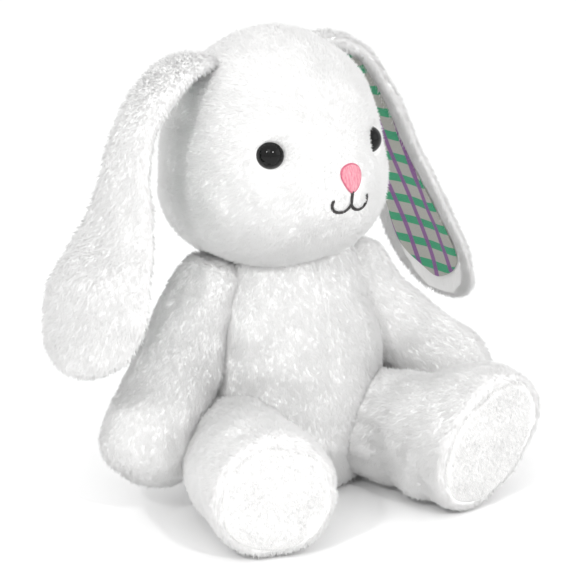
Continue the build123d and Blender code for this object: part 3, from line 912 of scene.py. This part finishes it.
# %% Legs and soles
for side in SIDES:
    leg = LEGS[side]
    out = foot_frame(leg)[0]
    foot = smooth_line(leg["line"], SHIN_ROWS)[-1]
    hip = np.array(leg["line"][0]) + np.array([SIDES[side] * 4, -18, 2])

    def leg_relief(p):
        """Stuffing lumps, and pleats that fan out from the hip seam."""
        gap = p - hip
        pleat = np.sin(np.arctan2(gap[:, 2], gap[:, 0]) * 13) * bell(np.linalg.norm(gap, axis=1) - 26, 11)
        return 0.8 * waves(p, 30, 71) + 0.3 * waves(p, 12, 72) + 0.35 * pleat

    coat = closed_skin(f"{side}_leg_coat", leg_rings(leg), coat_cloth)
    push(coat, leg_relief)
    co, _ = places(coat)
    co[:, 2] = np.maximum(co[:, 2], 0.6)
    set_places(coat, co)
    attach(coat, f"{side}_leg")
    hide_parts(f"{side}_leg_outer_panel", f"{side}_leg_inner_panel", f"{side}_leg_stuffing")
    size_of(coat)

    def sole_lumps(p):
        """Lumps of stuffing behind the sole."""
        return 0.5 * waves(p, 26, 81)

    sole = closed_skin(f"{side}_sole", sole_rings(leg, foot), nap_cloth)
    push(sole, sole_lumps)
    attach(sole, f"{side}_leg")
    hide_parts(f"{side}_leg_sole")

    def leg_out(p):
        """Brushed down, and a little back from the sole."""
        return np.tile([0, 0, -1.0] - out * 0.6, (len(p), 1))

    def off_sole(p, n):
        """Off the sole's disc, and out of the body."""
        on_disc = (sole_share(p - foot, leg) < 1.0) & ((p - foot) @ out > SOLE_AHEAD - 4)
        return ~on_disc & outside_body(p, n) & (n[:, 2] > -0.97)

    def inside_seam(p, n):
        """On the sole, short of its seam."""
        return sole_share(p - foot, leg) < 0.93

    pile(f"{side}_leg_pile", coat, f"{side}_leg", PILE_DENSITY, PILE_LENGTH, leg_out, 73, keep=off_sole)
    pile(f"{side}_sole_pile", sole, f"{side}_leg", 2.6, 2.0, leg_out, 75, keep=inside_seam)

# %% [markdown]
# ## Tail, closing seam and label
# None of these shows from the front. The tail is a round tuft. The back was closed last by hand, with a
# ladder of short white stitches, and the label is a folded loop of satin in that seam, left blank.

# %% Tail
TAIL_AT, TAIL_R = np.array([0.0, 53.0, 30.0]), 14.0
lift = np.linspace(-1.5, 1.5, 40)[:, None]
tail_turn = np.linspace(0, 2 * np.pi, 72, endpoint=False)
tail_rings = TAIL_R * np.stack([np.cos(lift) * np.cos(tail_turn), np.cos(lift) * np.sin(tail_turn),
                                np.sin(lift) + 0 * tail_turn], -1) + TAIL_AT
tail = closed_skin("tail_coat", tail_rings, coat_cloth)


def tail_lumps(p):
    """Lumps of stuffing."""
    return 0.7 * waves(p, 14, 91)


def tail_out(p):
    """Brushed away from the tail's middle, and down."""
    return unit(p - TAIL_AT) + [0, 0, -0.5]


push(tail, tail_lumps)
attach(tail, "torso")
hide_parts("tail_cover", "tail_stuffing")
size_of(tail)
pile("tail_pile", tail, "torso", 2.2, 6.0, tail_out, 92, lean=0.3)

# %% Closing seam
white_thread = mottled(finish("white_thread", (0.93, 0.93, 0.92), 0.6),
                       (0.86, 0.86, 0.84), (0.95, 0.95, 0.94), 900.0)
STITCHES, STITCH_PITCH = 7, 4.5


def back_depth(z):
    """How far behind the middle the body's back is at a height."""
    return np.interp(z, body_profile[:, 1], body_profile[:, 0]) * BODY_DEPTH


stitch_z = 76 + STITCH_PITCH * np.arange(STITCHES)
bar = np.linspace(-2.2, 2.2, 9)
bar_y = back_depth(stitch_z)[:, None] + 0.9 + 0.5 * np.cos(bar * 0.6)[None]
bars = np.stack([np.tile(bar, (STITCHES, 1)), bar_y, stitch_z[:, None] + 0.35 * bar[None]], -1)
bar_points, bar_faces = tubes(bars, 0.42)
seam = new_object("closing_stitches", bar_points, bar_faces.tolist(), white_thread)
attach(seam, "torso")
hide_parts("closing_seam_thread")
size_of(seam)

# %% Care label
satin = mottled(finish("label_satin", (0.94, 0.94, 0.94), 0.35),
                (0.9, 0.9, 0.9), (0.95, 0.95, 0.95), 900.0, (6, 1, 1), 0.00005)
LABEL_W, LABEL_L, LABEL_AT_Z = 13.0, 30.0, 56.0
t = np.linspace(0, 1, 60)
loop_y = np.minimum(t, 1 - t) * LABEL_L
loop_x = np.where(t < 0.5, -1, 1) * 0.35 * np.clip((LABEL_L / 2 - loop_y) / 0.35, 0, 1) ** 0.5
label_grid = np.stack([np.repeat(loop_x[:, None], 12, 1),
                       np.repeat(loop_y[:, None] + back_depth(LABEL_AT_Z + 6) - 0.5, 12, 1),
                       np.tile(LABEL_AT_Z + np.linspace(0, LABEL_W, 12), (60, 1))], -1)
label_grid[..., 0] += 1.2 * np.sin((loop_y / 15)[:, None] ** 2 * 1.6)
label = new_object("care_label_loop", label_grid.reshape(-1, 3), quads(60, 12, wrap=False).tolist(), satin)
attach(label, "torso")
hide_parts("care_label")
size_of(label)

# %% [markdown]
# ## Studio
# A pale floor under a bright, even sky of light. A large soft lamp from the toy's right and a wider one from
# its left shape it gently, and two small ones put points of light in the eyes. The camera looks from the
# toy's right, a little from above.

# %% Floor and light
FLOOR_HALF = 6000
floor_paint = mottled(finish("floor_paint", (0.95, 0.95, 0.95), 0.9),
                      (0.94, 0.94, 0.94), (0.955, 0.955, 0.955), 3.0, distance=0.00001)
floor_corners = FLOOR_HALF * np.array([[-1, -1, 0], [1, -1, 0], [1, 1, 0], [-1, 1, 0]])
floor = new_object("floor", floor_corners, [(0, 1, 2, 3)], floor_paint, smooth=False)
world = bpy.data.worlds.new("studio_sky")
bpy.context.scene.world = world
world.use_nodes = True
world.node_tree.nodes["Background"].inputs["Color"].default_value = (1.0, 1.0, 1.0, 1)
world.node_tree.nodes["Background"].inputs["Strength"].default_value = 1.07


def lamp(name, at, size, power, look=(0, 0, 110)):
    """A square area lamp that faces a point: size in millimetres, power in watts."""
    light = bpy.data.lights.new(name, "AREA")
    light.size, light.energy = size * MM, power
    made = bpy.data.objects.new(name, light)
    made.location = Vector(at) * MM
    made.rotation_euler = (Vector(look) - Vector(at)).to_track_quat("-Z", "Y").to_euler()
    bpy.context.scene.collection.objects.link(made)


lamp("key_lamp", (-900, -900, 1300), 700, 2.5)
lamp("fill_lamp", (900, -1100, 700), 900, 1.5)
lamp("catch_lamp_1", (-900, -580, 826), 70, 3.3)
lamp("catch_lamp_2", (-77, -1057, 826), 70, 3.3)

# %% Camera
CAMERA_AZIMUTH, CAMERA_RISE = np.radians(-30), np.radians(16)
CAMERA_FAR, LOOK_AT = 1.0, np.array([0, 0, 0.107])  # metres
back = np.array([np.sin(CAMERA_AZIMUTH) * np.cos(CAMERA_RISE),
                 -np.cos(CAMERA_AZIMUTH) * np.cos(CAMERA_RISE), np.sin(CAMERA_RISE)])
lens = bpy.data.cameras.new("camera")
lens.lens, lens.sensor_width, lens.clip_start, lens.clip_end = 115.7, 36.0, 0.05, 30.0
camera = bpy.data.objects.new("camera", lens)
bpy.context.scene.collection.objects.link(camera)
camera.location = LOOK_AT + back * CAMERA_FAR
camera.rotation_euler = Vector(-back).to_track_quat("-Z", "Y").to_euler()
bpy.context.scene.camera = camera
bpy.context.scene.view_settings.view_transform = "Standard"
